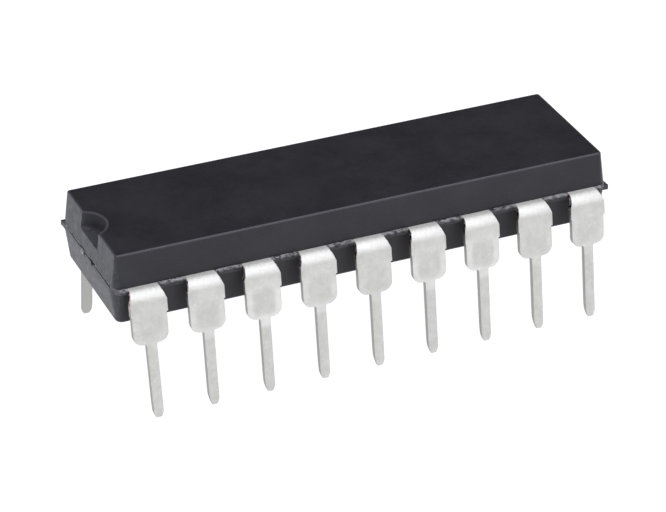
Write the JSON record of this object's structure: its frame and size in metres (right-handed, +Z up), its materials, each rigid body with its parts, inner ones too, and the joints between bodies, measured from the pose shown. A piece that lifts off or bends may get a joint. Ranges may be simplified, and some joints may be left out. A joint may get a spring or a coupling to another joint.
{
  "type": "dip integrated circuit chip",
  "caption": "Plastic dual in-line integrated circuit with a notched end and two rows of splayed tinned leads for a socket or circuit board.",
  "frame": {"origin": "midway between the two rows of leads and between the first and the last lead, on the plane of the lead tips", "axes": "+X along the body from the notched end to the plain end, +Y from the front row (leads one to nine) to the far row, +Z up from the tips to the top face"},
  "size_m": [0.023, 0.0094, 0.0072],
  "materials": {
    "plastic": "matt moulding compound",
    "tin": "satin tin plating on copper alloy",
    "silicon": "polished",
    "glue": "silver filled",
    "gold": "bright"
  },
  "bodies": {
    "root": {"body": "plastic", "die_pad": "tin", "die_attach": "glue", "die": "silicon", "lead_1": "tin", "lead_2": "tin", "lead_3": "tin", "lead_4": "tin", "lead_5": "tin", "lead_6": "tin", "lead_7": "tin", "lead_8": "tin", "lead_9": "tin", "lead_10": "tin", "lead_11": "tin", "lead_12": "tin", "lead_13": "tin", "lead_14": "tin", "lead_15": "tin", "lead_16": "tin", "lead_17": "tin", "lead_18": "tin", "bond_wire_1": "gold", "bond_wire_2": "gold", "bond_wire_3": "gold", "bond_wire_4": "gold", "bond_wire_5": "gold", "bond_wire_6": "gold", "bond_wire_7": "gold", "bond_wire_8": "gold", "bond_wire_9": "gold", "bond_wire_10": "gold", "bond_wire_11": "gold", "bond_wire_12": "gold", "bond_wire_13": "gold", "bond_wire_14": "gold", "bond_wire_15": "gold", "bond_wire_16": "gold", "bond_wire_17": "gold", "bond_wire_18": "gold"}
  },
  "joints": []
}
